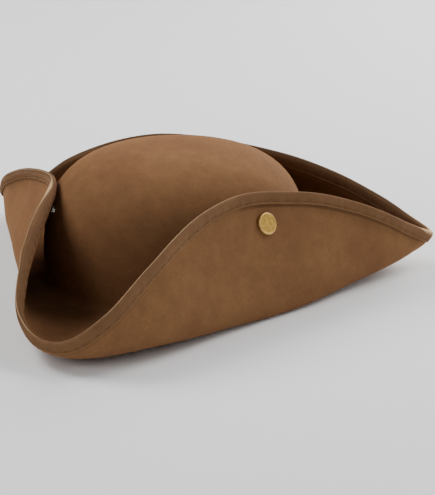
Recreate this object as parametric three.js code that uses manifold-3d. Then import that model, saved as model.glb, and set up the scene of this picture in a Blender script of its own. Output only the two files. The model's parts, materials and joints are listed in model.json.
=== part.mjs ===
// A three-cornered hat of brown brushed felt, in millimetres, +Z up.
// The hat rests on the flat ring of brim around its head opening, at z = 0.
// The sharp front corner points along -Y, and the wearer's right side is -X.

import * as THREE from 'three';
import { mergeVertices } from 'three/addons/utils/BufferGeometryUtils.js';
import Module from 'manifold-3d';

const wasm = await Module();
wasm.setup();

// Driving dimensions

const FELT = 2.4;                 // wall of the crown and of the brim
const GAP = 0.3;                  // between pieces that touch

const CROWN_HALF_LENGTH = 103.3;  // outside, front to back
const CROWN_HALF_WIDTH = 85;      // outside, side to side
const CROWN_HEIGHT = 107;
const CROWN_FOOT = 10;            // upright wall below the dome
const CROWN_SQUARENESS = 3.2;     // 2 is an ellipsoid, more gives a flatter top

const FLAT_RING = 14;             // flat brim around the crown, before it turns up
const FOOT_PULL = 0.78;           // how firmly a section leaves the ring towards its fold
const EDGE_PULL = 0.66;           // how firmly it arrives at the edge from its fold

const BINDING_WIDTH = 8;
const BINDING_WALL = 0.8;
const BINDING_SLACK = 0.5;        // between the strip and the felt on each face
const BINDING_ROUND = 1.4;        // depth of the rounded crest
const EDGE_TO_CREST = 2.6;        // the felt ends this far inside the crest

const CAP_RADIUS = 8.5;
const CAP_HEIGHT = 2.6;
const SHANK_RADIUS = 2.5;
const SHANK_CLEARANCE = 0.4;
const WASHER_RADIUS = 6;
const WASHER_HEIGHT = 1.6;
const BORE_PAST_WALL = 4;         // how much further than the wall's outer face a bore goes

// One half of the brim, a row for each rib from the front round to the back. Turn is the
// angle around the crown. Fold pulls the section outwards and down before it rises to the
// edge, and both are [ahead, out, up] from the middle of the head opening. Roll pulls the
// felt just below the edge the same three ways, so that the edge itself rolls back.
const RIBS = [
  { turn: 0,   fold: [204, 0, 7],     edge: [206, 0, 29] },
  { turn: 3,   fold: [200, 6, 5],     edge: [201, 6, 33] },
  { turn: 8,   fold: [191, 17, 0],    edge: [188, 13, 41] },
  { turn: 16,  fold: [176, 33, 0],    edge: [167, 25, 53] },
  { turn: 28,  fold: [148, 54, 0],    edge: [133, 33.5, 70.5] },
  { turn: 42,  fold: [112, 80, 0],    edge: [91, 45.5, 84] },
  { turn: 58,  fold: [70, 105, 0],    edge: [41, 66, 90] },
  { turn: 75,  fold: [30, 135, 0],    edge: [-2, 101.5, 84] },
  { turn: 92,  fold: [-9, 167, 0],    edge: [-38, 140.5, 66] },
  { turn: 108, fold: [-56, 181, 0],   edge: [-72, 169.5, 43] },
  { turn: 120, fold: [-97, 182, 0],   edge: [-105, 162, 23] },
  { turn: 132, fold: [-127, 157, 0],  edge: [-129, 137, 28], roll: [7, 1, 3] },
  { turn: 146, fold: [-141, 115, 1],  edge: [-129, 100, 54], roll: [27, 5, 11] },
  { turn: 162, fold: [-140, 59, 3],   edge: [-112, 54, 76], roll: [44, 10, 22] },
  { turn: 180, fold: [-134, 0, 5],    edge: [-97, 0, 86], roll: [40, 0, 20] },
];

// A fastener sits on a rib's line, or between two, some way below the crest. The rear one
// sits a finger's breadth to the right of the middle.
const FASTENERS = [
  { name: 'right', rib: 5.75, belowCrest: 25 },
  { name: 'left',  rib: 22.25, belowCrest: 25 },
  { name: 'rear',  rib: 13.76, belowCrest: 18 },
];

const STEPS_PER_RIB = 4;
const CROWN_STEPS = 48;
const CROWN_ROWS = 9;
const ROWS_TO_BINDING = 8;
const ROUND_STEPS = 16;

// Materials

const felt = new THREE.MeshStandardMaterial({ color: 0x74512f, roughness: 0.95, metalness: 0 });
const binding = new THREE.MeshStandardMaterial({ color: 0x6b4a2c, roughness: 0.9, metalness: 0 });
const brass = new THREE.MeshStandardMaterial({ color: 0xb99447, roughness: 0.4, metalness: 1 });
const nickel = new THREE.MeshStandardMaterial({ color: 0xc4c4c0, roughness: 0.3, metalness: 1 });

// Solids

function flipFaces(indices) {
  for (let i = 0; i < indices.length; i += 3) {
    [indices[i + 1], indices[i + 2]] = [indices[i + 2], indices[i + 1]];
  }
}

function signedVolume(positions, indices) {
  const [a, b, c] = [new THREE.Vector3(), new THREE.Vector3(), new THREE.Vector3()];
  let volume = 0;
  for (let i = 0; i < indices.length; i += 3) {
    a.fromArray(positions, 3 * indices[i]);
    b.fromArray(positions, 3 * indices[i + 1]);
    c.fromArray(positions, 3 * indices[i + 2]);
    volume += a.dot(b.cross(c)) / 6;
  }
  return volume;
}

function solid(geometry) {
  const bare = geometry.clone();
  bare.deleteAttribute('normal');
  bare.deleteAttribute('uv');
  const merged = mergeVertices(bare, 1e-4);
  const positions = merged.getAttribute('position').array;
  const all = Array.from(merged.getIndex().array);
  const indices = [];
  for (let i = 0; i < all.length; i += 3) {
    const [a, b, c] = all.slice(i, i + 3);
    if (a !== b && b !== c && c !== a) indices.push(a, b, c);
  }
  if (signedVolume(positions, indices) < 0) flipFaces(indices);
  return new wasm.Manifold(new wasm.Mesh({
    numProp: 3,
    vertProperties: Float32Array.from(positions),
    triVerts: Uint32Array.from(indices),
  }));
}

function meshOf(name, body, material) {
  const { vertProperties, triVerts } = body.getMesh();
  const geometry = new THREE.BufferGeometry();
  geometry.setAttribute('position', new THREE.BufferAttribute(vertProperties, 3));
  geometry.setIndex(new THREE.BufferAttribute(triVerts, 1));
  geometry.computeVertexNormals();
  const mesh = new THREE.Mesh(geometry, material);
  mesh.name = name;
  return mesh;
}

// Rings of points, each the same length, joined into one closed body like a hose whose
// ends meet: the last ring joins the first. Each four-sided face is split the short way.
function loopBody(rings) {
  const around = rings.length;
  const count = rings[0].length;
  const points = rings.flat();
  const indices = [];
  for (let i = 0; i < around; i += 1) {
    const next = (i + 1) % around;
    for (let j = 0; j < count; j += 1) {
      const up = (j + 1) % count;
      const [a, b] = [i * count + j, next * count + j];
      const [c, d] = [next * count + up, i * count + up];
      if (points[a].distanceTo(points[c]) < points[b].distanceTo(points[d])) {
        indices.push(a, b, c, a, c, d);
      } else {
        indices.push(a, b, d, b, c, d);
      }
    }
  }
  const geometry = new THREE.BufferGeometry();
  const positions = points.flatMap((point) => point.toArray());
  geometry.setAttribute('position', new THREE.Float32BufferAttribute(positions, 3));
  geometry.setIndex(indices);
  return solid(geometry);
}

function turned(profile, steps) {
  const points = profile.map(([r, z]) => new THREE.Vector2(r, z));
  return new THREE.LatheGeometry(points, steps).rotateX(Math.PI / 2);
}

// Crown

function dome(halfLength, halfWidth, height, foot, rootZ) {
  const profile = [[0, rootZ], [1, rootZ]];
  const power = 2 / CROWN_SQUARENESS;
  for (let row = 0; row <= CROWN_ROWS; row += 1) {
    const angle = (Math.PI / 2) * (row / CROWN_ROWS);
    const radius = row === CROWN_ROWS ? 0 : Math.cos(angle) ** power;
    profile.push([radius, foot + (height - foot) * Math.sin(angle) ** power]);
  }
  return solid(turned(profile, CROWN_STEPS).scale(halfWidth, halfLength, 1));
}

// The room inside the crown, or a smaller one that stays clear of its wall.
function crownRoom(clear = 0) {
  const wall = FELT + clear;
  return dome(
    CROWN_HALF_LENGTH - wall,
    CROWN_HALF_WIDTH - wall,
    CROWN_HEIGHT - wall,
    CROWN_FOOT,
    -FELT,
  );
}

function crownBody() {
  const outside = dome(CROWN_HALF_LENGTH, CROWN_HALF_WIDTH, CROWN_HEIGHT, CROWN_FOOT, 0);
  return outside.subtract(crownRoom());
}

// Below 0 inside the crown's outer face, above 0 outside it.
function outsideCrown(point) {
  const radius = Math.hypot(point.x / CROWN_HALF_WIDTH, point.y / CROWN_HALF_LENGTH);
  const rise = Math.max(0, (point.z - CROWN_FOOT) / (CROWN_HEIGHT - CROWN_FOOT));
  return radius ** CROWN_SQUARENESS + rise ** CROWN_SQUARENESS - 1;
}

// The direction from a point of the crown's outer face straight into its room.
function intoCrown(point) {
  const radius = Math.hypot(point.x / CROWN_HALF_WIDTH, point.y / CROWN_HALF_LENGTH);
  const rise = Math.max(0, (point.z - CROWN_FOOT) / (CROWN_HEIGHT - CROWN_FOOT));
  const across = radius ** (CROWN_SQUARENESS - 2);
  return new THREE.Vector3(
    -across * point.x / CROWN_HALF_WIDTH ** 2,
    -across * point.y / CROWN_HALF_LENGTH ** 2,
    -(rise ** (CROWN_SQUARENESS - 1)) / (CROWN_HEIGHT - CROWN_FOOT),
  ).normalize();
}

// Brim

const lastRib = RIBS.length - 1;
const ribCount = 2 * lastRib;

// The ribs all the way round: the right half as in the table, then the left half back.
const loop = Array.from({ length: ribCount }, (_, i) => {
  const right = i <= lastRib;
  const rib = RIBS[right ? i : ribCount - i];
  const side = right ? -1 : 1;
  const place = ([ahead, out, up]) => new THREE.Vector3(side * out, -ahead, up);
  const turn = THREE.MathUtils.degToRad(rib.turn);
  return {
    circle: new THREE.Vector3(side * Math.sin(turn), -Math.cos(turn), 0),
    fold: place(rib.fold),
    edge: place(rib.edge),
    roll: place(rib.roll ?? [0, 0, 0]),
  };
});

function closedLine(column) {
  return new THREE.CatmullRomCurve3(loop.map((rib) => rib[column]), true, 'catmullrom', 0.5);
}

const circleLine = closedLine('circle');
const foldLine = closedLine('fold');
const edgeLine = closedLine('edge');
const rollLine = closedLine('roll');

// A point beside the crown's foot, some way out from its face.
function besideCrown(direction, away) {
  const angle = Math.atan2(direction.x, -direction.y);
  const normal = new THREE.Vector3(
    Math.sin(angle) / CROWN_HALF_WIDTH,
    -Math.cos(angle) / CROWN_HALF_LENGTH,
    0,
  ).normalize();
  return new THREE.Vector3(
    CROWN_HALF_WIDTH * Math.sin(angle),
    -CROWN_HALF_LENGTH * Math.cos(angle),
    0,
  ).addScaledVector(normal, away);
}

// The outer face of the felt turns up along this curve, at a place counted in ribs.
class TurnUp extends THREE.CubicBezierCurve3 {
  constructor(rib) {
    const t = THREE.MathUtils.euclideanModulo(rib, ribCount) / ribCount;
    const bend = besideCrown(circleLine.getPoint(t), FLAT_RING);
    const fold = foldLine.getPoint(t);
    const edge = edgeLine.getPoint(t);
    const leave = bend.clone().lerp(fold, FOOT_PULL);
    super(bend, leave, edge.clone().lerp(fold, EDGE_PULL), edge);
    this.roll = rollLine.getPoint(t);
  }

  // The roll is 0 at both ends and strongest shortly before the edge.
  getPoint(t, target) {
    return super.getPoint(t, target).addScaledVector(this.roll, 3 * t ** 5 * (1 - t));
  }
}

// How far along that curve, from 0 to 1, a distance below the crest lies.
function along(rib, belowCrest) {
  const curve = new TurnUp(rib);
  return curve.getUtoTmapping(0, curve.getLength() - belowCrest);
}

// A point of the outer face, and the direction through the felt towards the crown.
function facePoint(rib, t) {
  const step = { rib: 0.02, t: 0.002 };
  const [low, high] = [Math.max(0, t - step.t), Math.min(1, t + step.t)];
  const [before, here, after] = [rib - step.rib, rib, rib + step.rib].map((r) => new TurnUp(r));
  const across = after.getPoint(t).sub(before.getPoint(t));
  const up = here.getPoint(high).sub(here.getPoint(low));
  return { point: here.getPoint(t), inward: across.cross(up).normalize() };
}

const stations = Array.from({ length: ribCount * STEPS_PER_RIB }, (_, i) => i / STEPS_PER_RIB);

// The felt of the brim. Grown, it is thicker by the same amount on both faces.
function brimBody(grown = 0) {
  const rings = stations.map((rib) => {
    const circle = circleLine.getPoint(rib / ribCount);
    const bandStart = along(rib, BINDING_WIDTH);
    const faces = [{ point: besideCrown(circle, GAP), inward: new THREE.Vector3(0, 0, 1) }];
    for (let row = 0; row <= ROWS_TO_BINDING; row += 1) {
      faces.push(facePoint(rib, bandStart * (row / ROWS_TO_BINDING)));
    }
    faces.push(facePoint(rib, along(rib, EDGE_TO_CREST)));
    const layer = (through) => faces.map(
      ({ point, inward }) => point.clone().addScaledVector(inward, through),
    );
    return [...layer(-grown), ...layer(FELT + grown).reverse()];
  });
  return loopBody(rings);
}

// Binding

function bindingBody() {
  const skin = BINDING_SLACK + BINDING_WALL;
  const channel = EDGE_TO_CREST - 2 * BINDING_SLACK;
  // Each row is how far below the crest, and how far through the felt from its outer face.
  const outline = [
    { below: BINDING_WIDTH, through: -BINDING_SLACK },
    { below: BINDING_WIDTH - 0.4, through: -skin },
    { below: BINDING_ROUND, through: -skin },
    { below: 0, through: 0.2 },
    { below: 0, through: FELT - 0.2 },
    { below: BINDING_ROUND, through: FELT + skin },
    { below: BINDING_WIDTH - 0.4, through: FELT + skin },
    { below: BINDING_WIDTH, through: FELT + BINDING_SLACK },
    { below: channel, through: FELT + BINDING_SLACK },
    { below: channel, through: -BINDING_SLACK },
  ];
  const rings = stations.map((rib) => outline.map(({ below, through }) => {
    const { point, inward } = facePoint(rib, along(rib, below));
    return point.addScaledVector(inward, through);
  }));
  return loopBody(rings);
}

// Fasteners

const clearRoom = crownRoom(GAP);
const spacedBrim = brimBody(GAP);

// Radius and height, from the middle of the felt side round to the middle of the dished top.
const CAP_PROFILE = [
  [0, -FELT / 2],
  [CAP_RADIUS, -FELT / 2],
  [CAP_RADIUS, 0.5 * CAP_HEIGHT],
  [CAP_RADIUS - 0.7, CAP_HEIGHT],
  [CAP_RADIUS - 1.3, CAP_HEIGHT - 0.2],
  [CAP_RADIUS - 1.9, CAP_HEIGHT - 0.6],
  [0, CAP_HEIGHT - 0.4],
];

function rod(radius, low, high) {
  return turned([[0, low], [radius, low], [radius, high], [0, high]], ROUND_STEPS);
}

// A turned solid with its middle at a point and its heights against the way inwards.
function placed(geometry, point, inward) {
  const turn = new THREE.Quaternion();
  turn.setFromUnitVectors(new THREE.Vector3(0, 0, 1), inward.clone().negate());
  const place = new THREE.Matrix4().compose(point, turn, new THREE.Vector3(1, 1, 1));
  return solid(geometry.applyMatrix4(place));
}

// How far along a ray the crown's outer face lies.
function reachCrown(start, direction) {
  const probe = new THREE.Vector3();
  let [near, far] = [0, 40];
  for (let i = 0; i < 30; i += 1) {
    const middle = (near + far) / 2;
    probe.copy(start).addScaledVector(direction, middle);
    if (outsideCrown(probe) > 0) near = middle;
    else far = middle;
  }
  return near;
}

// The cap lies on the flap and its shank goes through the felt. The post goes on from there
// through the crown's wall to a washer that lies flat on the inside of that wall. The cap is
// cut to the felt under it.
function fastener({ name, rib, belowCrest }) {
  const { point, inward } = facePoint(rib, along(rib, belowCrest));
  const wall = reachCrown(point, inward);
  const onWall = point.clone().addScaledVector(inward, wall);
  const intoRoom = intoCrown(onWall);

  // The far face of a felt wall lies this high, with the gap that touching parts keep.
  const felted = -FELT - GAP;
  const postEnd = -wall + felted - WASHER_HEIGHT / 2;
  const shank = rod(SHANK_RADIUS, -FELT, 0.5 * CAP_HEIGHT);
  const post = rod(SHANK_RADIUS, postEnd, felted);
  const washer = rod(WASHER_RADIUS, felted - WASHER_HEIGHT, felted);
  const bore = rod(SHANK_RADIUS + SHANK_CLEARANCE, -wall - BORE_PAST_WALL, CAP_HEIGHT);
  const head = placed(turned(CAP_PROFILE, ROUND_STEPS), point, inward).subtract(spacedBrim);
  const flatWasher = placed(washer, onWall, intoRoom).intersect(clearRoom);
  return {
    name,
    cap: head.add(placed(shank, point, inward)),
    post: flatWasher.add(placed(post, point, inward)),
    bore: placed(bore, point, inward),
  };
}

// The hat

const fasteners = FASTENERS.map(fastener);
let crown = crownBody();
let brim = brimBody();
for (const { bore } of fasteners) {
  crown = crown.subtract(bore);
  brim = brim.subtract(bore);
}

const hat = new THREE.Group();
hat.add(meshOf('crown', crown, felt));
hat.add(meshOf('brim', brim, felt));
hat.add(meshOf('edge_binding', bindingBody(), binding));
for (const { name, cap, post } of fasteners) {
  hat.add(meshOf(`snap_cap_${name}`, cap, brass));
  hat.add(meshOf(`snap_post_${name}`, post, nickel));
}

// The origin goes under the middle of the hat's own box.
const box = new THREE.Box3().setFromObject(hat);
hat.position.y = -(box.min.y + box.max.y) / 2;

export default hat;
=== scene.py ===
# %% [markdown]
# # A three-cornered hat in brushed felt
#
# The hat is one felt body: a domed crown and a wide brim that is turned up on three sides.
# A folded strip is sewn over the edge of the brim, and three pressed brass caps snap the
# flaps to the crown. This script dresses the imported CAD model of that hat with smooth
# pieces and real finishes. Shapes are worked out in millimetres and placed in metres, and
# the front corner is towards -Y.

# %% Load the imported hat
import json
import math

import bpy
import numpy as np
from mathutils import Euler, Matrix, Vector

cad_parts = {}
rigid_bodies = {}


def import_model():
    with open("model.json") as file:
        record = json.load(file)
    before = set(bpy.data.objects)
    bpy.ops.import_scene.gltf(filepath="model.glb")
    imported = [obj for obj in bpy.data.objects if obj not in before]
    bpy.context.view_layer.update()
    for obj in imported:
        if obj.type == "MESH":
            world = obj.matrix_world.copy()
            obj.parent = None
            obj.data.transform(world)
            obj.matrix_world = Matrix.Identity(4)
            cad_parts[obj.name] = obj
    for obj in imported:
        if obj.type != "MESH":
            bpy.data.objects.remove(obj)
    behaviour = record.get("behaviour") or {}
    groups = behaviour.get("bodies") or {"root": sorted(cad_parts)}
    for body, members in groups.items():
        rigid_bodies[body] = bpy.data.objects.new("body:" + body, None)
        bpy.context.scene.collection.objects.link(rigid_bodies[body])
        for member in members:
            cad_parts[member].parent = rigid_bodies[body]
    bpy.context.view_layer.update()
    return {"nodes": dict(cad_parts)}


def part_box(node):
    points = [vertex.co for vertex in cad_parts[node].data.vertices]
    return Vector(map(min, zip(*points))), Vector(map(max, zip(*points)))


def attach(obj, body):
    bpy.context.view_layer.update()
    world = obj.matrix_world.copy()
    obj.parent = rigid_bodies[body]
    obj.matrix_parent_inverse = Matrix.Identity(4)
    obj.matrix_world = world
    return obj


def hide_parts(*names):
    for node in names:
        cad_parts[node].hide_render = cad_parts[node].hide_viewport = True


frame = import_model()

MM = 0.001
crown_low, crown_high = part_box("crown")
head_middle = (crown_low + crown_high) / 2
print("nodes:", ", ".join(sorted(frame["nodes"])))
print("middle of the head opening, mm:", round(head_middle.y / MM, 2), "behind the origin")

# %% [markdown]
# ## The camera
#
# The picture was taken from the wearer's right, a little behind the middle and about 22
# degrees above the table, with a long lens. The camera first looks straight at the middle
# of the head opening. It is then turned a little to the right and up, because the hat
# lies left of the middle and low in the picture. Turning keeps the lens centred, so that
# the same camera can look from any other side.

# %% Place the camera
AZIMUTH = math.radians(-97.23)
ELEVATION = math.radians(22.43)
DISTANCE = 1.574
LENS = 145.1
TURN_RIGHT = math.radians(1.2)
TURN_UP = math.radians(0.835)

away = Vector((
    math.sin(AZIMUTH) * math.cos(ELEVATION),
    -math.cos(AZIMUTH) * math.cos(ELEVATION),
    math.sin(ELEVATION),
))
camera = bpy.data.objects.new("camera", bpy.data.cameras.new("camera"))
bpy.context.scene.collection.objects.link(camera)
bpy.context.scene.camera = camera
target = Vector((0, head_middle.y, 0))
camera.location = target + DISTANCE * away
straight = away.to_track_quat("Z", "Y")
camera.rotation_mode = "QUATERNION"
camera.rotation_quaternion = straight @ Euler((TURN_UP, -TURN_RIGHT, 0)).to_quaternion()
camera.data.lens = LENS
camera.data.clip_end = 20
print("camera at", [round(x, 3) for x in camera.location])

# %% [markdown]
# ## The shape of the felt
#
# A felt hat is steamed over a block and its brim is bent by hand, so the brim is one
# curved sheet. Modelling it freely would make three flaps that don't quite agree. Instead
# the sheet is drawn by ribs: at each rib a section leaves the flat ring around the head,
# bellies out at the fold and rises to the edge. The same table drives the CAD model, so
# the smooth felt lies in the space that its solids hold.
#
# Places round the hat are counted in ribs. Place 0 is the front corner and place 14 the
# middle of the rear flap. The wearer's right side comes first, and 28 is the front again.

# %% Sizes and ribs, in millimetres
FELT = 2.4
CROWN_HALF_LENGTH = 103.3
CROWN_HALF_WIDTH = 85
CROWN_HEIGHT = 107
CROWN_FOOT = 10
CROWN_SQUARENESS = 3.2
FLAT_RING = 14
FOOT_PULL = 0.78
EDGE_PULL = 0.66
ROOT_FILLET = 6

# Turn is the angle around the crown in degrees. Fold, edge and roll are ahead, out and up.
RIBS = [
    # turn, fold, edge, roll
    (0, (204, 0, 7), (206, 0, 29), (0, 0, 0)),
    (3, (200, 6, 5), (201, 6, 33), (0, 0, 0)),
    (8, (191, 17, 0), (188, 13, 41), (0, 0, 0)),
    (16, (176, 33, 0), (167, 25, 53), (0, 0, 0)),
    (28, (148, 54, 0), (133, 33.5, 70.5), (0, 0, 0)),
    (42, (112, 80, 0), (91, 45.5, 84), (0, 0, 0)),
    (58, (70, 105, 0), (41, 66, 90), (0, 0, 0)),
    (75, (30, 135, 0), (-2, 101.5, 84), (0, 0, 0)),
    (92, (-9, 167, 0), (-38, 140.5, 66), (0, 0, 0)),
    (108, (-56, 181, 0), (-72, 169.5, 43), (0, 0, 0)),
    (120, (-97, 182, 0), (-105, 162, 23), (0, 0, 0)),
    (132, (-127, 157, 0), (-129, 137, 28), (7, 1, 3)),
    (146, (-141, 115, 1), (-129, 100, 54), (27, 5, 11)),
    (162, (-140, 59, 3), (-112, 54, 76), (44, 10, 22)),
    (180, (-134, 0, 5), (-97, 0, 86), (40, 0, 20)),
]
LAST_RIB = len(RIBS) - 1
RIB_COUNT = 2 * LAST_RIB


def both_halves(column):
    """The right half as in the table, then the left half back, in the hat's own axes."""
    rows = []
    for i in range(RIB_COUNT):
        right = i <= LAST_RIB
        row = RIBS[i if right else RIB_COUNT - i]
        side = -1 if right else 1
        if column == "turn":
            turn = math.radians(row[0])
            rows.append((side * math.sin(turn), -math.cos(turn), 0))
        else:
            ahead, out, up = row[{"fold": 1, "edge": 2, "roll": 3}[column]]
            rows.append((side * out, -ahead, up))
    return np.array(rows, float)


LINES = {name: both_halves(name) for name in ("turn", "fold", "edge", "roll")}


def smooth_line(name, places):
    """Points on the closed line through a column's ribs, at places counted in ribs."""
    points = LINES[name]
    whole = np.floor(places).astype(int)
    part = (places - whole)[:, None]
    before, here, after, beyond = (points[(whole + k) % RIB_COUNT] for k in (-1, 0, 1, 2))
    return 0.5 * (
        2 * here
        + (after - before) * part
        + (2 * before - 5 * here + 4 * after - beyond) * part ** 2
        + (3 * here - before - 3 * after + beyond) * part ** 3
    )


print("ribs all the way round:", RIB_COUNT)

# %% [markdown]
# The ring around the crown is an oval, and each section starts on it. The outer face of
# the felt is a curve with four control points, plus a roll that turns the edge back. A
# fine web of the face's own tangents gives the direction through the felt, which all the
# other pieces need as well.

# %% The face of the brim


def beside_crown(places, out):
    """Points beside the crown's foot, some way out from its face, and the way out."""
    way = smooth_line("turn", places)
    angle = np.arctan2(way[:, 0], -way[:, 1])
    normal = np.stack([
        np.sin(angle) / CROWN_HALF_WIDTH,
        -np.cos(angle) / CROWN_HALF_LENGTH,
        0 * angle,
    ], axis=1)
    normal /= np.linalg.norm(normal, axis=1, keepdims=True)
    foot = np.stack([
        CROWN_HALF_WIDTH * np.sin(angle),
        -CROWN_HALF_LENGTH * np.cos(angle),
        0 * angle,
    ], axis=1)
    return foot + out * normal, normal


def sections(places, t):
    """Points of the outer face. Each place has a row of t, from 0 at the ring to 1."""
    bend = beside_crown(places, FLAT_RING)[0]
    fold, edge, roll = (smooth_line(name, places) for name in ("fold", "edge", "roll"))
    leave = bend + FOOT_PULL * (fold - bend)
    arrive = edge + EDGE_PULL * (fold - edge)
    bend, leave, arrive, edge, roll = (
        line[:, None, :] for line in (bend, leave, arrive, edge, roll)
    )
    t = t[..., None]
    s = 1 - t
    curve = s ** 3 * bend + 3 * s ** 2 * t * leave + 3 * s * t ** 2 * arrive + t ** 3 * edge
    return curve + roll * 3 * t ** 5 * s


def through_felt(places, t):
    """The direction through the felt, towards the crown."""
    step = 0.02
    across = sections(places + step, t) - sections(places - step, t)
    up = sections(places, np.minimum(t + 0.002, 1)) - sections(places, np.maximum(t - 0.002, 0))
    inward = np.cross(across, up)
    return inward / np.linalg.norm(inward, axis=2, keepdims=True)


def t_below_crest(places, below):
    """Where on each section distances in mm below the crest lie."""
    fine = np.linspace(0, 1, 401)
    points = sections(places, np.tile(fine, (len(places), 1)))
    steps = np.linalg.norm(np.diff(points, axis=1), axis=2)
    length = np.concatenate([np.zeros((len(places), 1)), np.cumsum(steps, axis=1)], axis=1)
    below = np.broadcast_to(below, (len(places), below.shape[-1]))
    return np.array([np.interp(row[-1] - b, row, fine) for row, b in zip(length, below)])


# %% [markdown]
# Real felt is never as even as a formula. Four things are added to the bare face: broad
# waves of about half a millimetre that a bent brim keeps, a shallow dent where each cap
# pulls its flap towards the crown, a slight flare of the side flaps' edge, because the
# sewn strip is stiffer than the felt below it and stands up straighter, and an edge that
# wanders by a millimetre or two, as shears and hands leave it.

# %% Waves, dents, flare and a wandering edge
FASTENERS = [
    # name, place in ribs, mm below the crest
    ("right", 5.75, 25),
    ("left", 22.25, 25),
    ("rear", 13.76, 18),
]
WAVE_HEIGHT = 0.55
DENT_DEPTH = 0.7
DENT_WIDTH = 13
FLARE = 1.6
FLARE_HEIGHT = 12
# Along a section, from 0 to 1.
WAVES_BEGIN, WAVES_FULL = 0.12, 0.62
WANDER_BEGINS, WANDER_FULL = 0.45, 0.9
EDGE_WANDER = {
    # for each way: place in ribs, mm
    "up": [
        (0, 0), (1.0, -1.0), (1.6, -1.5), (2.2, -1.2), (3.2, 0.4), (4.0, -0.5), (5.2, -0.1),
        (6.1, 1.5), (6.7, 1.3), (7.3, -0.1), (8.1, 0.1), (9.0, 0.1), (9.6, -1.1), (10.3, -0.6),
        (11.4, 1.0), (12.3, 0.4), (13.1, -0.7), (14, -0.5), (15.4, -1.2), (17, 0), (22, 0),
        (23, -0.9), (26, -1.1), (28, 0),
    ],
    "back": [
        (0, 0), (11.3, 0), (12.0, -1.5), (12.4, 0), (12.9, 2.0), (13.5, 1.6), (14.2, 0), (28, 0),
    ],
    "left": [
        (0, 0), (4, 0), (5.5, -1), (6.6, -1), (8, 0), (20.3, 0), (21.8, 1.2), (22.8, 1.2),
        (24.3, 0), (28, 0),
    ],
}

rng = np.random.default_rng(7)
WAVES = [
    # a wave's direction with its pitch in mm, and its phase
    (2 * math.pi * direction / np.linalg.norm(direction) / pitch, phase)
    for direction, pitch, phase in zip(
        rng.normal(size=(7, 3)),
        (58, 66, 74, 85, 97, 110, 128),
        rng.uniform(0, 2 * math.pi, 7),
    )
]


def smooth_step(value, low, high):
    """0 up to low, 1 from high on, and a soft rise between them."""
    part = np.clip((value - low) / (high - low), 0, 1)
    return part ** 2 * (3 - 2 * part)


def under_cap(face, place, below):
    """A face's point under a cap. The face is a function of places and t."""
    places = np.array([float(place)])
    return face(places, t_below_crest(places, np.array([float(below)])))


DENTS = [under_cap(sections, place, below)[0, 0] for name, place, below in FASTENERS]


def flare(places, points):
    """How far the face stands out near the crest of a side flap, and in just below it."""
    from_front = np.minimum(places, RIB_COUNT - places)[:, None]
    on_flap = np.clip((from_front - 1) / 2, 0, 1) * np.clip((10 - from_front) / 2, 0, 1)
    crest = sections(places, np.ones((len(places), 1)))
    down = np.linalg.norm(points - crest, axis=2) / FLARE_HEIGHT
    return FLARE * on_flap * (np.clip(1 - down, 0, 1) ** 2 - np.exp(-4 * (down - 1.2) ** 2))


def between_rows(table, places):
    """Values between a table's rows, without corners."""
    at, value = np.array(table, float).T
    row = np.clip(np.searchsorted(at, places, side="right") - 1, 0, len(at) - 2)
    part = smooth_step(places, at[row], at[row + 1])
    return value[row] + (value[row + 1] - value[row]) * part


def felt_face(places, t):
    """The outer face as it really lies, and the direction through the felt."""
    points = sections(places, t)
    inward = through_felt(places, t)
    near_edge = smooth_step(t, WANDER_BEGINS, WANDER_FULL)
    for way, axis in (("left", (1, 0, 0)), ("back", (0, 1, 0)), ("up", (0, 0, 1))):
        shift = between_rows(EDGE_WANDER[way], places)[:, None] * near_edge
        points = points + shift[..., None] * np.array(axis)
    swell = sum(np.sin(points @ wave + phase) for wave, phase in WAVES) / len(WAVES) * 2
    rise = smooth_step(t, WAVES_BEGIN, WAVES_FULL)
    move = WAVE_HEIGHT * swell * rise - flare(places, points)
    for centre in DENTS:
        distance = np.linalg.norm(points - centre, axis=2)
        move = move + DENT_DEPTH * np.exp(-(distance / DENT_WIDTH) ** 2)
    return points + inward * move[..., None], inward


SEATS = {}
for name, place, below in FASTENERS:
    seat, inward = under_cap(felt_face, place, below)
    SEATS[name] = seat[0, 0], inward[0, 0]
    print("cap", name, "sits at", np.round(seat[0, 0], 1), "mm")

# %% [markdown]
# ## The felt body
#
# The crown and the brim of a blocked hat are one piece of felt with a tight round bend
# between them. The mesh follows that: one grid of points runs from the top of the crown
# down its wall, round the bend, across the ring and up to the edge. That grid is the
# upper skin. Moving it 2.4 mm back along its own normals gives the under skin, so the
# wall has the same thickness everywhere, which Solidify would not keep at the pole.
#
# A strip will be sewn over the edge. It is guided by hand under the machine, so its width
# wanders by a millimetre or two. Beside it, under the strip's lip, the felt gets a dark
# line of painted shade. The rows of points crowd together there, and an attribute says how
# dark the painted shade is. Where the seam pulls less, behind the caps, it nearly disappears.

# %% Helpers for meshes


def to_metres(points):
    """Points in mm from the middle of the head opening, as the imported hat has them."""
    return np.asarray(points) * MM + np.array([0, head_middle.y, 0])


def new_piece(name, points, faces, smooth=True):
    """A mesh object at the origin, with its place in its mesh."""
    mesh = bpy.data.meshes.new(name)
    mesh.from_pydata([tuple(p) for p in points], [], faces)
    mesh.validate()
    if smooth:
        mesh.shade_smooth()
    else:
        mesh.shade_flat()
    piece = bpy.data.objects.new(name, mesh)
    bpy.context.scene.collection.objects.link(piece)
    return piece


def triangles(piece):
    return sum(len(face.vertices) - 2 for face in piece.data.polygons)


# %% The upper skin, from the top of the crown to the edge
STATIONS_PER_RIB = 14
CROWN_ROWS = 36
FILLET_ROWS = 6
BRIM_ROWS = 34
EASINGS = 4
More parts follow.
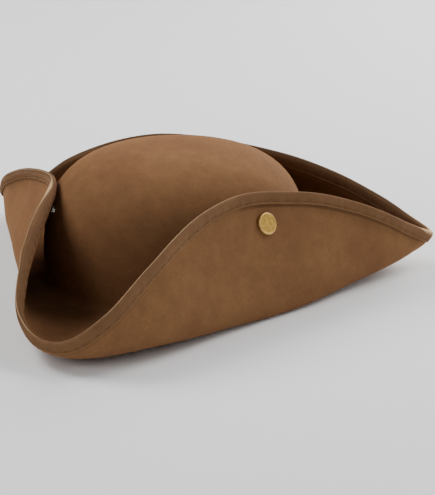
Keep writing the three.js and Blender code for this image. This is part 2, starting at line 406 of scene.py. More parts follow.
# How many mm below the crest the two rows lie that the strip hides.
UNDER_STRIP = [5.5, 2.6]
STRIP_WIDTHS = [
    # place in ribs, mm
    (0, 9), (1, 10), (2, 10.4), (4, 9.9), (6, 10), (8, 10.4), (9.5, 10.4), (11.5, 10.8),
    (13, 9.8), (13.8, 8), (14.6, 8.4), (16, 8.2), (19, 8.5), (22, 10), (25, 10), (28, 9),
]
STRIP_PULL = [
    # place in ribs, how hard the seam pulls there
    (0, 0.7), (2, 0.8), (3.3, 1), (5.6, 1), (6.4, 0.1), (7.3, 0.1), (8.5, 0.3), (10, 0.3),
    (12, 0.5), (15, 0.9), (17, 0.6), (22, 0.3), (24, 1), (28, 0.7),
]
LIP_SHADE_ROWS = [
    # mm beyond the strip's edge, how dark the painted shade is
    (3.5, 0), (2.1, 0), (1.5, 0.6), (0.9, 1), (0.3, 1), (-1, 1),
]

stations = np.arange(RIB_COUNT * STATIONS_PER_RIB) / STATIONS_PER_RIB


def dome_profile(rows):
    """Radius from 0 to 1 and height in mm, evenly spaced along the dome from its top."""
    angle = np.linspace(math.pi / 2, 0, 2001)
    power = 2 / CROWN_SQUARENESS
    radius = np.abs(np.cos(angle)) ** power
    height = CROWN_FOOT + (CROWN_HEIGHT - CROWN_FOOT) * np.abs(np.sin(angle)) ** power
    mean = (CROWN_HALF_LENGTH + CROWN_HALF_WIDTH) / 2
    length = np.concatenate([[0], np.cumsum(np.hypot(np.diff(radius) * mean, np.diff(height)))])
    wanted = np.linspace(0, length[-1], rows + 1)[1:]
    return np.interp(wanted, length, radius), np.interp(wanted, length, height)


def upper_skin():
    foot, normal = beside_crown(stations, 0)
    rows = []
    for radius, height in zip(*dome_profile(CROWN_ROWS)):
        rows.append(foot * radius + np.array([0, 0, height]))
    for turn in np.linspace(0, math.pi / 2, FILLET_ROWS + 1):
        out = ROOT_FILLET * (1 - math.cos(turn))
        height = FELT + ROOT_FILLET * (1 - math.sin(turn))
        rows.append(foot + out * normal + np.array([0, 0, height]))
    rows.append(foot + (ROOT_FILLET + FLAT_RING) / 2 * normal + np.array([0, 0, FELT]))
    width = between_rows(STRIP_WIDTHS, stations)[:, None]
    groove_t = t_below_crest(stations, width + np.array(LIP_SHADE_ROWS)[:, 0])
    t = groove_t[:, :1] * np.linspace(0, 1, BRIM_ROWS + 1)[None, :]
    hidden_t = t_below_crest(stations, np.array(UNDER_STRIP))
    t = np.concatenate([t, groove_t[:, 1:], hidden_t], axis=1)
    face, inward = felt_face(stations, t)
    brim = face + FELT * inward
    return np.concatenate([np.stack(rows, axis=1), brim], axis=1)


upper = upper_skin()

# %% The crease at the ring is eased, and the under skin follows
RING_ROW = CROWN_ROWS + FILLET_ROWS + 2
for _ in range(EASINGS):
    eased = (upper[:, :-2] + 2 * upper[:, 1:-1] + upper[:, 2:]) / 4
    zone = slice(RING_ROW - 1, RING_ROW + 4)
    upper[:, zone] = eased[:, RING_ROW - 2:RING_ROW + 3]

around = np.roll(upper, -1, axis=0) - np.roll(upper, 1, axis=0)
down = np.gradient(upper, axis=1)
upward = np.cross(around, down)
upward /= np.linalg.norm(upward, axis=2, keepdims=True)
under = upper - FELT * upward
print("upper skin:", upper.shape[0], "by", upper.shape[1], "points")

# %% Join both skins into the felt body


def felt_body():
    count, rows = upper.shape[:2]
    points = np.concatenate([
        upper.reshape(-1, 3),
        under.reshape(-1, 3),
        [[0, 0, CROWN_HEIGHT], [0, 0, CROWN_HEIGHT - FELT]],
    ])
    below = count * rows
    top, top_below = 2 * below, 2 * below + 1
    faces = []
    for i in range(count):
        j = (i + 1) % count
        for r in range(rows - 1):
            a, b, c, d = j * rows + r, j * rows + r + 1, i * rows + r + 1, i * rows + r
            faces.append((a, b, c, d))
            faces.append((below + d, below + c, below + b, below + a))
        a, b = i * rows + rows - 1, j * rows + rows - 1
        faces.append((a, b, below + b, below + a))
        faces.append((top, j * rows, i * rows))
        faces.append((top_below, below + i * rows, below + j * rows))
    piece = new_piece("felt_body", to_metres(points), faces)
    # Painted shade beside the strip's lip, row by row, and weaker where the seam pulls less.
    row_lip_shade = np.zeros(rows)
    row_lip_shade[-len(LIP_SHADE_ROWS) - len(UNDER_STRIP):-len(UNDER_STRIP)] = np.array(LIP_SHADE_ROWS)[:, 1]
    pull = between_rows(STRIP_PULL, stations)
    lip_shade = np.append(np.tile(np.outer(pull, row_lip_shade).ravel(), 2), [0, 0])
    piece.data.attributes.new("lip_shade", "FLOAT", "POINT").data.foreach_set("value", lip_shade)
    return piece


felt_piece = felt_body()
print("felt body:", triangles(felt_piece), "triangles")

# %% [markdown]
# ## The edge binding
#
# A strip of the same felt is folded over the raw edge and sewn through both sides. The
# fold stands round and full, the seam pulls the strip down into a shallow channel, and
# the cut margin below the seam springs up again as a small lip. The section is drawn
# once and carried round the whole edge. Between two stitches the strip puffs up a little,
# so the channel's depth follows the same pitch as the stitches.

# %% The strip's section
# In mm below the crest: the seam, the start of the margin under it and the fold's end.
SEAM_BELOW = 6.1
MARGIN_BELOW = 6.4
FOLD_BELOW = 2.7
# The width that the side is drawn for.
BINDING_WIDTH = 8
OVER_CREST = 1.45
STITCH_PITCH = 9.0
BINDING_STATIONS = 32
PUCKER = 0.22
SEAM_WANDER = 0.12
WANDERS_AROUND = 21

# Distance below the crest, height above the felt, and how much of the pucker is felt.
STRIP_SIDE = [
    (8.0, -0.3, 0), (8.15, 0.5, 0), (8.0, 1.05, 0.1), (7.5, 1.35, 0.2), (7.0, 1.25, 0.5),
    (6.5, 1.0, 1), (6.1, 0.9, 1), (5.7, 1.0, 1), (5.1, 1.25, 0.6), (4.4, 1.45, 0.3),
    (3.5, 1.5, 0.1), (2.7, 1.4, 0),
]
LIP_ROW, SEAM_ROW = 2, 6
CREST_MIDDLE = 2.5
CREST_ARC = [math.radians(angle) for angle in (68, 46, 23, 0, -23, -46, -68)]


def strip_section():
    """Rows of below, through and pucker, from the outer lip over the crest to the inner."""
    rows = [(below, -height, -pucker) for below, height, pucker in STRIP_SIDE]
    half = FELT / 2
    for angle in CREST_ARC:
        out = (half + OVER_CREST) * math.sin(angle)
        rows.append((CREST_MIDDLE * (1 - math.cos(angle)), half - out, 0))
    rows += [(b, FELT + height, pucker) for b, height, pucker in reversed(STRIP_SIDE)]
    return np.array(rows)


SECTION = strip_section()
section_run = np.concatenate([[0], np.cumsum(np.hypot(*np.diff(SECTION[:, :2], axis=0).T))])
# The hidden side between both lips ends at this many mm along the section.
HIDDEN_SIDE = 40
print("points in the strip's section:", len(SECTION))
print("way over the strip, mm:", round(section_run[-1], 1))

# %% [markdown]
# The same ribs carry the section all the way round. Where the seam pulls less, the margin
# below it springs up less. A second table says how strong a painted highlight along the
# fold is: strongest at the front corner, and none on the far side. The piece keeps that as
# an attribute, and the way along and across the strip as its own UV.

# %% Carry the section round the edge
CREST_HIGHLIGHT = [
    # place in ribs, how strong the painted highlight along the fold is
    (0, 1), (1.2, 1), (2, 0.7), (3, 0.65), (6, 0.65), (10, 0.5), (12, 0.45), (13, 0.5),
    (13.7, 0.85), (14.2, 0.3), (16, 0.15), (22, 0), (25.5, 0), (27, 0.5), (28, 1),
]


def line_length(points):
    steps = np.linalg.norm(np.roll(points, -1, axis=0) - points, axis=1)
    return np.concatenate([[0], np.cumsum(steps)])


places = np.arange(RIB_COUNT * BINDING_STATIONS) / BINDING_STATIONS
wider = between_rows(STRIP_WIDTHS, places) - BINDING_WIDTH
on_side = np.clip((SECTION[:, 0] - FOLD_BELOW) / (SEAM_BELOW - FOLD_BELOW), 0, 1)
strip_t = t_below_crest(places, SECTION[:, 0] + wider[:, None] * on_side)
strip_face, strip_inward = felt_face(places, strip_t)
seam_run = line_length(strip_face[:, SEAM_ROW])
stitch_count = round(seam_run[-1] / STITCH_PITCH)
phase_around = 2 * math.pi * seam_run[:-1, None] / seam_run[-1]
pucker = PUCKER * np.cos(stitch_count * phase_around) * -SECTION[:, 2]
wander = SEAM_WANDER * np.sin(WANDERS_AROUND * phase_around) * (SECTION[:, 0] > FOLD_BELOW)
pull = between_rows(STRIP_PULL, places)[:, None]
spring = np.where(SECTION[:, 0] > MARGIN_BELOW, 0.5 + 0.5 * pull, 1)
skin = np.where(SECTION[:, 1] > FELT / 2, FELT, 0)
through = skin + (SECTION[:, 1] - skin) * spring + pucker + wander * np.sign(SECTION[:, 1])
strip_points = strip_face + strip_inward * through[..., None]
print("edge length, m:", round(seam_run[-1] * MM, 3), "and stitches on a side:", stitch_count)


def edge_strip():
    count, rows = strip_points.shape[:2]
    faces = []
    for i in range(count):
        j = (i + 1) % count
        for r in range(rows):
            s = (r + 1) % rows
            faces.append((i * rows + s, j * rows + s, j * rows + r, i * rows + r))
    piece = new_piece("edge_binding_strip", to_metres(strip_points.reshape(-1, 3)), faces)
    layer = piece.data.uv_layers.new(name="strip")
    run = seam_run * MM
    width = np.append(section_run, HIDDEN_SIDE) * MM
    uv = []
    for i in range(count):
        for r in range(rows):
            uv += [run[i], width[r + 1], run[i + 1], width[r + 1]]
            uv += [run[i + 1], width[r], run[i], width[r]]
    layer.data.foreach_set("uv", uv)
    # Painted highlight along the fold: its strength at each point of the strip.
    wear_and_highlight = np.repeat(between_rows(CREST_HIGHLIGHT, places), rows)
    piece.data.attributes.new("wear_and_highlight", "FLOAT", "POINT").data.foreach_set("value", wear_and_highlight)
    return piece


binding_piece = edge_strip()
print("binding:", triangles(binding_piece), "triangles")

# %% [markdown]
# ## Materials
#
# Every finish is mixed from noise in Object coordinates, so it is fixed to the hat. Hex
# colours are what the eye sees on a screen, and one function turns them to the linear
# values that the shader needs. One helper adds a node with its settings and links.

# %% Colour and node helpers


def linear(colour, alpha=1.0):
    """An sRGB hex colour as linear red, green, blue and alpha."""
    parts = [int(colour[i:i + 2], 16) / 255 for i in (1, 3, 5)]
    return (*[c / 12.92 if c <= 0.04045 else ((c + 0.055) / 1.055) ** 2.4 for c in parts], alpha)


def add_node(tree, kind, inputs=None, **settings):
    """A new node. An input is a value, or another node's output to link from."""
    node = tree.nodes.new(kind)
    for name, value in settings.items():
        setattr(node, name, value)
    for key, value in (inputs or {}).items():
        if isinstance(value, bpy.types.NodeSocket):
            tree.links.new(value, node.inputs[key])
        else:
            node.inputs[key].default_value = value
    return node


def new_material(name):
    material = bpy.data.materials.new(name)
    material.use_nodes = True
    tree = material.node_tree
    tree.nodes.clear()
    return material, tree


def per_mm(size):
    """A texture scale that gives features of about this size in mm."""
    return 1 / (size * MM)


# %% [markdown]
# ### Brushed felt
#
# Brushed wool felt, or suede cloth made to look like it, has a short nap. It scatters
# light in all directions, shows no gloss, and glows a little where it is seen edge-on,
# which is what the sheen layer gives. Its colour is uneven at three sizes: broad patches
# where the nap lies another way, smaller mottling from handling, and single tufts. The
# tufts are really a fraction of a millimetre, and are drawn about 1.5 mm so that they
# still show at this distance. Beside the strip's lip a dark brown is mixed in as painted
# shade, as far as an attribute says.

# %% Felt


def felt_material(name, dark, middle, light, sheen):
    material, tree = new_material(name)
    place = add_node(tree, "ShaderNodeTexCoord").outputs["Object"]
    patches = add_node(tree, "ShaderNodeTexNoise", {
        "Vector": place, "Scale": per_mm(48), "Detail": 3.0, "Roughness": 0.55,
    })
    mottle = add_node(tree, "ShaderNodeTexNoise", {
        "Vector": place, "Scale": per_mm(11), "Detail": 4.0, "Roughness": 0.6,
    })
    tufts = add_node(tree, "ShaderNodeTexNoise", {
        "Vector": place, "Scale": per_mm(1.5), "Detail": 3.0, "Roughness": 0.7,
    })
    patch_mix = add_node(tree, "ShaderNodeMapRange", {
        "Value": patches.outputs["Fac"], "From Min": 0.25, "From Max": 0.75,
    })
    mottle_mix = add_node(tree, "ShaderNodeMapRange", {
        "Value": mottle.outputs["Fac"], "From Min": 0.3, "From Max": 0.7, "To Max": 0.3,
    })
    tuft_mix = add_node(tree, "ShaderNodeMapRange", {
        "Value": tufts.outputs["Fac"], "From Min": 0.3, "From Max": 0.7, "To Max": 0.3,
    })
    broad = add_node(tree, "ShaderNodeMix", {
        0: patch_mix.outputs["Result"], 6: linear(middle), 7: linear(light),
    }, data_type="RGBA")
    handled = add_node(tree, "ShaderNodeMix", {
        0: mottle_mix.outputs["Result"], 6: broad.outputs[2], 7: linear(dark),
    }, data_type="RGBA")
    fibres = add_node(tree, "ShaderNodeMix", {
        0: tuft_mix.outputs["Result"], 6: handled.outputs[2], 7: linear(dark),
    }, data_type="RGBA")
    # Painted shade: a dark brown mixed in beside the strip's lip, as far as the attribute says.
    lip_shade = add_node(tree, "ShaderNodeAttribute", attribute_name="lip_shade").outputs["Fac"]
    lip_shaded = add_node(tree, "ShaderNodeMix", {
        0: add_node(tree, "ShaderNodeMath", {0: lip_shade, 1: 0.4}, operation="MULTIPLY").outputs[0],
        6: fibres.outputs[2], 7: linear("#2a1a0e"),
    }, data_type="RGBA")
    bump = add_node(tree, "ShaderNodeBump", {
        "Height": tufts.outputs["Fac"], "Strength": 0.35, "Distance": 0.0005,
    })
    soft_bump = add_node(tree, "ShaderNodeBump", {
        "Height": mottle.outputs["Fac"], "Strength": 0.3, "Distance": 0.0012,
        "Normal": bump.outputs["Normal"],
    })
    shader = add_node(tree, "ShaderNodeBsdfPrincipled", {
        "Base Color": lip_shaded.outputs[2], "Roughness": 0.95, "Specular IOR Level": 0.15,
        "Sheen Weight": 0.34, "Sheen Roughness": 0.3, "Sheen Tint": linear(sheen),
        "Normal": soft_bump.outputs["Normal"],
    })
    add_node(tree, "ShaderNodeOutputMaterial", {"Surface": shader.outputs["BSDF"]})
    return material


brushed_felt = felt_material("brushed_wool_felt", "#5b3d28", "#7d5739", "#8d6743", "#d08d52")
bound_felt = felt_material("folded_felt_strip", "#563b27", "#735338", "#836245", "#c99c72")
felt_piece.data.materials.append(brushed_felt)
binding_piece.data.materials.append(bound_felt)
print("nodes in a felt:", len(brushed_felt.node_tree.nodes))

# %% [markdown]
# The strip gets a few more touches, all painted light and shade. A pale painted highlight
# runs along the fold, as far as the strip's attribute says, and where that is weak the fold
# gets painted shade instead. The seam gets a little painted shade, the lip below it a
# painted highlight, and the cut edge under the lip painted shade that is nearly black. Each
# touch has its own distance from the crest, which the second value of the strip's UV gives.

# %% The strip's painted highlight and painted shade
crest_at = section_run[len(SECTION) // 2]
seam_at = crest_at - section_run[SEAM_ROW]
lip_at = crest_at - section_run[LIP_ROW]

tree = bound_felt.node_tree
shader = tree.nodes["Principled BSDF"]
colour = shader.inputs["Base Color"].links[0].from_socket
way_across = add_node(tree, "ShaderNodeSeparateXYZ", {
    "Vector": add_node(tree, "ShaderNodeUVMap", uv_map="strip").outputs["UV"],
}).outputs["Y"]
from_crest = add_node(tree, "ShaderNodeMath", {
    0: add_node(tree, "ShaderNodeMath", {0: way_across, 1: crest_at * MM},
                operation="SUBTRACT").outputs[0],
}, operation="ABSOLUTE").outputs[0]
# Painted highlight along the fold, and painted shade on the fold where the highlight is weak.
wear_and_highlight = add_node(tree, "ShaderNodeAttribute", attribute_name="wear_and_highlight").outputs["Fac"]
crest_shade = add_node(tree, "ShaderNodeMath", {0: 1.0, 1: wear_and_highlight}, operation="SUBTRACT").outputs[0]
reach = add_node(tree, "ShaderNodeMath", {
    0: add_node(tree, "ShaderNodeMath", {0: wear_and_highlight, 1: 5.0}, operation="POWER").outputs[0],
    1: 3.0, 2: 0.45,
}, operation="MULTIPLY_ADD").outputs[0]
# Row by row: painted shade on the fold, a painted highlight along the fold, painted shade in the
# seam, a painted highlight on the lip, and near-black painted shade under the lip.
ACROSS = [
    # colour, its strength, mm from the crest, full within mm, gone beyond mm, only where
    ("#3b2a1c", 0.6, 0.0, 1.2, 2.8, crest_shade),
    ("#e0ba8d", 1.0, 0.0, 0.3, 1.4, wear_and_highlight),
    ("#36261a", 0.12, seam_at, 0.3, 1.2, None),
    ("#8f6c48", 0.25, lip_at - 0.5, 0.5, 1.1, None),
    ("#1d130a", 0.9, crest_at, crest_at - lip_at - 0.4, crest_at - lip_at + 0.1, None),
]
for hue, strength, middle, full, gone, only in ACROSS:
    near = add_node(tree, "ShaderNodeMath", {
        0: add_node(tree, "ShaderNodeMath", {0: from_crest, 1: middle * MM},
                    operation="SUBTRACT").outputs[0],
    }, operation="ABSOLUTE").outputs[0]
    if only is wear_and_highlight:
        near = add_node(tree, "ShaderNodeMath", {0: near, 1: reach}, operation="DIVIDE").outputs[0]
    amount = add_node(tree, "ShaderNodeMapRange", {
        "Value": near, "From Min": full * MM, "From Max": gone * MM,
        "To Min": strength, "To Max": 0.0,
    }).outputs["Result"]
    if only:
        amount = add_node(tree, "ShaderNodeMath", {0: amount, 1: only},
                          operation="MULTIPLY").outputs[0]
    colour = add_node(tree, "ShaderNodeMix", {
        0: amount, 6: colour, 7: linear(hue),
    }, data_type="RGBA").outputs[2]
tree.links.new(colour, shader.inputs["Base Color"])
print("mm from the crest to the seam and the lip:", round(seam_at, 1), round(lip_at, 1))

# %% [markdown]
# ### Thread, brass and nickel
#
# The seam is sewn with brown spun polyester thread, close to the felt's own tone. The
# caps are pressed brass with an antique wash: patches of brown patina change every few
# millimetres on the face, and the rolled rim is rubbed bright, which an attribute marks.
# The posts are nickel-plated steel, which needs little but a clean gloss.

# %% Thread


def thread_material():
    material, tree = new_material("spun_polyester_thread")
    place = add_node(tree, "ShaderNodeTexCoord").outputs["Object"]
    strands = add_node(tree, "ShaderNodeTexNoise", {
        "Vector": place, "Scale": per_mm(0.8), "Detail": 2.0,
    })
    colour = add_node(tree, "ShaderNodeMix", {
        0: strands.outputs["Fac"], 6: linear("#63431f"), 7: linear("#7a552f"),
    }, data_type="RGBA")
    shader = add_node(tree, "ShaderNodeBsdfPrincipled", {
        "Base Color": colour.outputs[2], "Roughness": 0.8, "Specular IOR Level": 0.2,
    })
    add_node(tree, "ShaderNodeOutputMaterial", {"Surface": shader.outputs["BSDF"]})
    return material


sewing_thread = thread_material()
print("made:", sewing_thread.name)

# %% Antique brass


def brass_material():
    material, tree = new_material("antique_pressed_brass")
    place = add_node(tree, "ShaderNodeTexCoord").outputs["Object"]
    patina = add_node(tree, "ShaderNodeTexNoise", {
        "Vector": place, "Scale": per_mm(2.6), "Detail": 5.0, "Roughness": 0.65,
    })
    wear_and_highlight = add_node(tree, "ShaderNodeMapRange", {
        "Value": patina.outputs["Fac"], "From Min": 0.3, "From Max": 0.7,
    })
    colour = add_node(tree, "ShaderNodeMix", {
        0: wear_and_highlight.outputs["Result"], 6: linear("#9c7838"), 7: linear("#c9a457"),
    }, data_type="RGBA")
    rubbed = add_node(tree, "ShaderNodeAttribute", attribute_name="rubbed").outputs["Fac"]
    bright_rim = add_node(tree, "ShaderNodeMix", {
        0: rubbed, 6: colour.outputs[2], 7: linear("#dbb673"),
    }, data_type="RGBA")
    rough = add_node(tree, "ShaderNodeMapRange", {
        "Value": patina.outputs["Fac"], "From Min": 0.3, "From Max": 0.7,
        "To Min": 0.6, "To Max": 0.48,
    })
    bump = add_node(tree, "ShaderNodeBump", {
        "Height": patina.outputs["Fac"], "Strength": 0.3, "Distance": 0.0002,
    })
    shader = add_node(tree, "ShaderNodeBsdfPrincipled", {
        "Base Color": bright_rim.outputs[2], "Metallic": 1.0,
        "Roughness": rough.outputs["Result"], "Normal": bump.outputs["Normal"],
    })
    add_node(tree, "ShaderNodeOutputMaterial", {"Surface": shader.outputs["BSDF"]})
    return material


antique_brass = brass_material()
print("made:", antique_brass.name)

# %% Nickel plate


def nickel_material():
    material, tree = new_material("nickel_plated_steel")
    place = add_node(tree, "ShaderNodeTexCoord").outputs["Object"]
    handling = add_node(tree, "ShaderNodeTexNoise", {
        "Vector": place, "Scale": per_mm(3), "Detail": 3.0,
    })
    rough = add_node(tree, "ShaderNodeMapRange", {
        "Value": handling.outputs["Fac"], "To Min": 0.18, "To Max": 0.32,
    })
    shader = add_node(tree, "ShaderNodeBsdfPrincipled", {
        "Base Color": linear("#d6d5cf"), "Metallic": 1.0, "Roughness": rough.outputs["Result"],
    })
    add_node(tree, "ShaderNodeOutputMaterial", {"Surface": shader.outputs["BSDF"]})
    return material


nickel_plate = nickel_material()
print("made:", nickel_plate.name)

# %% [markdown]
# ## The stitches
#
# A lockstitch shows as a row of short dashes, one every few millimetres, on both faces of
# the strip. Placing hundreds of dashes by hand makes no sense, and this is what Geometry
# Nodes are for: the seam line becomes a curve, the curve is cut into equal steps, and a
# small stitch is laid along it at each step. The line carries the direction out of the
# felt, so that each stitch lies flat on its side of the strip.

# %% The seam lines
STITCH_LENGTH = 4.4
THREAD = 0.9


def seam_lines():
    """Both closed seam lines in one mesh of edges, with the way out of the felt."""
    outer = SEAM_ROW
    inner = len(SECTION) - 1 - outer
    points, ways, edges = [], [], []
    for row, sign in ((outer, -1), (inner, 1)):
        start = len(points)
        count = len(places)
        lift = 0.12 * sign
        points += list(strip_points[:, row] + lift * strip_inward[:, row])
        ways += list(sign * strip_inward[:, row])
        edges += [(start + i, start + (i + 1) % count) for i in range(count)]
    mesh = bpy.data.meshes.new("seam_lines")
    mesh.from_pydata([tuple(p) for p in to_metres(points)], edges, [])
    way = mesh.attributes.new("way_out", "FLOAT_VECTOR", "POINT")
    way.data.foreach_set("vector", np.array(ways, np.float32).ravel())
    piece = bpy.data.objects.new("seam_lines", mesh)
    bpy.context.scene.collection.objects.link(piece)
    return piece


seam_piece = seam_lines()
print("points on both seam lines:", len(seam_piece.data.vertices))

# %% The node tree that sews


def sewing_tree():
    tree = bpy.data.node_groups.new("sew_along_seam", "GeometryNodeTree")
    face = tree.interface
    face.new_socket("Geometry", in_out="INPUT", socket_type="NodeSocketGeometry")
    for name, kind in (
        ("Stitches on a line", "NodeSocketInt"), ("Stitch length", "NodeSocketFloat"),
        ("Thread", "NodeSocketFloat"), ("Seed", "NodeSocketInt"),
    ):
        face.new_socket(name, in_out="INPUT", socket_type=kind)
    face.new_socket("Geometry", in_out="OUTPUT", socket_type="NodeSocketGeometry")
    given = add_node(tree, "NodeGroupInput").outputs
    curve = add_node(tree, "GeometryNodeMeshToCurve", {"Mesh": given["Geometry"]})
    steps = add_node(tree, "GeometryNodeResampleCurve", {
        "Curve": curve.outputs["Curve"], "Count": given["Stitches on a line"],
    }, mode="COUNT")
    stitch = add_node(tree, "GeometryNodeMeshUVSphere", {
        "Segments": 8, "Rings": 5, "Radius": 0.5,
    })
    way_out = add_node(tree, "GeometryNodeInputNamedAttribute", {"Name": "way_out"},
                       data_type="FLOAT_VECTOR")
    tangent = add_node(tree, "GeometryNodeInputTangent")
    along = add_node(tree, "FunctionNodeAlignRotationToVector", {
        "Vector": tangent.outputs["Tangent"],
    }, axis="X")
    flat = add_node(tree, "FunctionNodeAlignRotationToVector", {
        "Rotation": along.outputs["Rotation"], "Vector": way_out.outputs["Attribute"],
    }, axis="Z", pivot_axis="X")
    varied = add_node(tree, "FunctionNodeRandomValue", {
        2: 0.86, 3: 1.1, "Seed": given["Seed"],
    }, data_type="FLOAT")
    length = add_node(tree, "ShaderNodeMath", {
        0: given["Stitch length"], 1: varied.outputs[1],
    }, operation="MULTIPLY")
    thickness = add_node(tree, "ShaderNodeMath", {
        0: given["Thread"], 1: 0.7,
    }, operation="MULTIPLY")
    size = add_node(tree, "ShaderNodeCombineXYZ", {
        "X": length.outputs[0], "Y": given["Thread"], "Z": thickness.outputs[0],
    })
    laid = add_node(tree, "GeometryNodeInstanceOnPoints", {
        "Points": steps.outputs["Curve"], "Instance": stitch.outputs["Mesh"],
        "Rotation": flat.outputs["Rotation"], "Scale": size.outputs["Vector"],
    })
    real = add_node(tree, "GeometryNodeRealizeInstances", {"Geometry": laid.outputs[0]})
    smooth = add_node(tree, "GeometryNodeSetShadeSmooth", {"Geometry": real.outputs[0]})
    thread = add_node(tree, "GeometryNodeSetMaterial", {
        "Geometry": smooth.outputs[0], "Material": sewing_thread,
    })
    add_node(tree, "NodeGroupOutput", {"Geometry": thread.outputs["Geometry"]})
    return tree


# %% Sew, and keep the result as a plain mesh


def sewn(line_piece, name, **inputs):
    tree = sewing_tree()
    modifier = line_piece.modifiers.new("sew", "NODES")
    modifier.node_group = tree
    sockets = {item.name: item.identifier for item in tree.interface.items_tree
               if item.in_out == "INPUT"}
    for label, value in inputs.items():
        modifier[sockets[label.replace("_", " ")]] = value
    bpy.context.view_layer.update()
    evaluated = line_piece.evaluated_get(bpy.context.evaluated_depsgraph_get())
    mesh = bpy.data.meshes.new_from_object(evaluated)
    mesh.name = name
    piece = bpy.data.objects.new(name, mesh)
    bpy.context.scene.collection.objects.link(piece)
    line_piece.modifiers.remove(modifier)
    bpy.data.objects.remove(line_piece)
    return piece


stitch_piece = sewn(
    seam_piece, "binding_stitches",
    Stitches_on_a_line=stitch_count, Stitch_length=STITCH_LENGTH * MM, Thread=THREAD * MM, Seed=4,
)
print("stitches:", triangles(stitch_piece), "triangles")

# %% [markdown]
# ## Caps and posts
#
# A snap cap is pressed from thin sheet: its rim is rolled under and stands a little
# proud of a nearly flat face. A post is a rod with a collar behind the flap, and a washer
# that lies flat on the inside of the crown. All of them are round, so each is a profile
# turned about its own axis. The CAD model cuts its coarse caps to fit the felt. Here the
# cap's skirt simply sinks into the felt, and the rod passes through it. The picture shows
# the side cap's face turned a little to the front, so both side caps lean that way.

# %% Turned pieces
TURN_STEPS = 48


def turned_points(profile, centre, axis):
    """A profile of radius and height, turned about an axis through the centre, in mm."""
    axis = Vector(axis).normalized()
    turn = np.array(Vector((0, 0, 1)).rotation_difference(axis).to_matrix())
    points = []
    for radius, height in profile:
        for step in range(TURN_STEPS):
            angle = 2 * math.pi * step / TURN_STEPS
            points.append((radius * math.cos(angle), radius * math.sin(angle), height))
    return np.array(points) @ turn.T + np.array(centre)


def turned(name, profile, centre, axis):
    """The first and the last row of the profile are close to the axis, and are closed."""
    rings = len(profile)
    points = turned_points(profile, centre, axis)
    faces = []
    for r in range(rings - 1):
        for step in range(TURN_STEPS):
            after = (step + 1) % TURN_STEPS
            low, high = r * TURN_STEPS, (r + 1) * TURN_STEPS
            faces.append((low + step, low + after, high + after, high + step))
    faces.append(tuple(reversed(range(TURN_STEPS))))
    faces.append(tuple(range((rings - 1) * TURN_STEPS, rings * TURN_STEPS)))
    return new_piece(name, to_metres(points), faces)


def joined(name, parts):
    """One piece out of several closed ones."""
    points, faces = [], []
    for part in parts:
        start = len(points)
        points += [tuple(v.co) for v in part.data.vertices]
        faces += [tuple(start + i for i in face.vertices) for face in part.data.polygons]
        bpy.data.objects.remove(part)
    return new_piece(name, points, faces)


# %% The cap: skirt, rolled rim and dished face
CAP_PROFILE = [
    (0.4, -2.1), (2.4, -2.1), (2.4, -2.0), (7.6, -1.9), (8.2, -1.6), (8.5, -0.9), (8.5, 0.8),
    (8.46, 1.3), (8.3, 1.7), (8.0, 1.98), (7.65, 2.1), (7.3, 2.06), (7.0, 1.94), (6.7, 1.84),
    (6.3, 1.8), (5.5, 1.82), (4.0, 1.88), (2.0, 1.92), (0.3, 1.92),
]
CAP_LEAN = {"right": 0.14, "left": 0.14, "rear": 0.0}
CAP_RISE = 0.2
FRONT = np.array([0, -1, 0])
CAP_RUBBED = [float(radius > 7.5 and height > 1) for radius, height in CAP_PROFILE]

cap_pieces = {}
for name, (centre, inward) in SEATS.items():
    way_out = CAP_LEAN[name] * FRONT - inward
    cap = turned(f"cap_{name}", CAP_PROFILE, centre - CAP_RISE * inward, way_out)
    rubbed = cap.data.attributes.new("rubbed", "FLOAT", "POINT")
    rubbed.data.foreach_set("value", np.repeat(CAP_RUBBED, TURN_STEPS))
    cap.data.materials.append(antique_brass)
    cap_pieces[name] = cap
print("a cap:", triangles(cap_pieces["right"]), "triangles")

# %% The post: a collar behind the flap, a rod, and a washer inside the crown
POST_RADIUS = 2.5
COLLAR_RADIUS = 4
COLLAR_HEIGHT = 1.1
WASHER_RADIUS = 6
WASHER_HEIGHT = 1.6
CLEAR = 0.3
BEHIND_FELT = -FELT - CLEAR


def outside_crown(point):
    radius = math.hypot(point[0] / CROWN_HALF_WIDTH, point[1] / CROWN_HALF_LENGTH)
    rise = max(0, (point[2] - CROWN_FOOT) / (CROWN_HEIGHT - CROWN_FOOT))
    return radius ** CROWN_SQUARENESS + rise ** CROWN_SQUARENESS - 1


def reach_crown(start, way):
    near, far = 0.0, 40.0
    for _ in range(30):
        middle = (near + far) / 2
        near, far = (middle, far) if outside_crown(start + middle * way) > 0 else (near, middle)
    return near


def out_of_crown(point):
    """The direction straight out of the crown's outer face."""
    step = 0.01
    slope = [outside_crown(point + step * axis) - outside_crown(point - step * axis)
             for axis in np.eye(3)]
    return np.array(slope) / np.linalg.norm(slope)


def disc(radius, low, high, round_off=0.3):
    """A disc's or a rod's profile with its rims rounded off."""
    r = round_off
    return [
        (0.2, low), (radius - r, low), (radius - 0.3 * r, low + 0.3 * r), (radius, low + r),
        (radius, high - r), (radius - 0.3 * r, high - 0.3 * r), (radius - r, high), (0.2, high),
    ]


post_pieces = {}
for name, (centre, inward) in SEATS.items():
    wall = reach_crown(centre, inward)
    on_wall = centre + wall * inward
    rod = disc(POST_RADIUS, BEHIND_FELT - wall - WASHER_HEIGHT / 2, BEHIND_FELT)
    collar = disc(COLLAR_RADIUS, BEHIND_FELT - COLLAR_HEIGHT, BEHIND_FELT)
    washer = disc(WASHER_RADIUS, BEHIND_FELT - WASHER_HEIGHT, BEHIND_FELT)
    parts = [
        turned("rod", rod, centre, -inward),
        turned("collar", collar, centre, -inward),
        turned("washer", washer, on_wall, out_of_crown(on_wall)),
    ]
    post = joined(f"post_{name}", parts)
    post.data.materials.append(nickel_plate)
    post_pieces[name] = post
    print("post", name, "reaches", round(wall, 1), "mm to the crown")

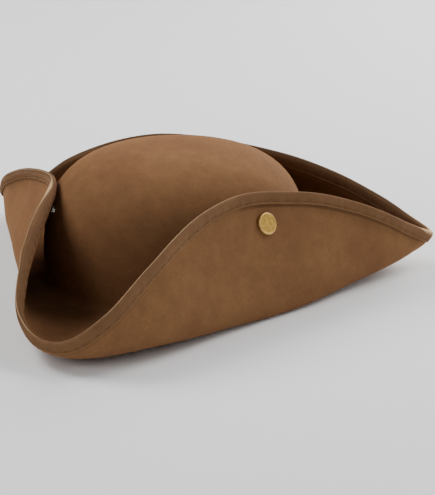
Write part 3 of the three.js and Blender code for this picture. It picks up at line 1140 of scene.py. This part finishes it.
# %% [markdown]
# ## Each piece takes its place
#
# The hat has no joints, so all pieces ride on its one body. Each piece names the CAD
# nodes that it stands for, which are hidden but stay in the physics model, and a slot
# name that nothing here reads.

# %% Ride and replace
PIECES = [
    # piece, nodes it stands for, slot
    (felt_piece, ("crown", "brim"), "felt"),
    (binding_piece, ("edge_binding",), "binding"),
    (stitch_piece, (), "binding"),
]
for name in SEATS:
    PIECES.append((cap_pieces[name], (f"snap_cap_{name}",), "brass"))
    PIECES.append((post_pieces[name], (f"snap_post_{name}",), "nickel"))

for piece, nodes, slot in PIECES:
    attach(piece, "root")
    if nodes:
        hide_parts(*nodes)
print("pieces:", len(PIECES), "and triangles:", sum(triangles(row[0]) for row in PIECES))

# %% [markdown]
# ## Floor and light
#
# The picture is a catalogue shot on white. Two broad soft lights stand high on the far
# side, one towards the back and one towards the front. Two weaker ones light the ends of
# the near flap from the camera's side, and a very weak one its middle. A low light at the
# far front corner draws the right edge of the crown. The room itself gives hardly any
# light, so the wells between crown and brim go nearly black, and a pale floor sends some
# light back up under the flaps.

# %% Floor


def floor_material():
    material, tree = new_material("white_studio_floor")
    shader = add_node(tree, "ShaderNodeBsdfPrincipled", {
        "Base Color": linear("#fbfbfa"), "Roughness": 0.9, "Specular IOR Level": 0.1,
    })
    add_node(tree, "ShaderNodeOutputMaterial", {"Surface": shader.outputs["BSDF"]})
    return material


HALF_FLOOR = 6.0
FLOOR_HEIGHT = -0.0003
corners = [(x * HALF_FLOOR, y * HALF_FLOOR, FLOOR_HEIGHT)
           for x, y in ((-1, -1), (1, -1), (1, 1), (-1, 1))]
floor = new_piece("floor", corners, [(0, 1, 2, 3)], smooth=False)
floor.data.materials.append(floor_material())
print("floor, m across:", 2 * HALF_FLOOR)

# %% Lights
AIM = Vector((0, 0, 0.05))
LIGHTS = [
    # name, place in m, width in m, watts
    ("rear_softbox", (0.64, 1.10, 1.32), 0.9, 26),
    ("rear_side_softbox", (-0.82, 1.41, 0.81), 0.9, 8.5),
    ("front_softbox", (0.33, -1.23, 1.32), 0.9, 22),
    ("front_side_softbox", (-0.82, -1.41, 0.81), 0.9, 6),
    ("side_softbox", (-1.2, -0.1, 1.45), 0.9, 1.8),
    ("low_rim_light", (1.2, -1.2, 0.66), 0.9, 27),
]
for name, place, width, watts in LIGHTS:
    lamp = bpy.data.lights.new(name, "AREA")
    lamp.shape = "SQUARE"
    lamp.size = width
    lamp.energy = watts
    light = bpy.data.objects.new(name, lamp)
    bpy.context.scene.collection.objects.link(light)
    light.location = place
    light.rotation_mode = "QUATERNION"
    light.rotation_quaternion = (Vector(place) - AIM).to_track_quat("Z", "Y")

world = bpy.data.worlds.new("soft_room")
bpy.context.scene.world = world
world.use_nodes = True
background = world.node_tree.nodes["Background"]
background.inputs["Color"].default_value = linear("#e2e9ff")
background.inputs["Strength"].default_value = 0.08
print("lights:", len(LIGHTS), "and watts in all:", round(sum(row[3] for row in LIGHTS), 1))

# %% Finish
bpy.context.view_layer.update()
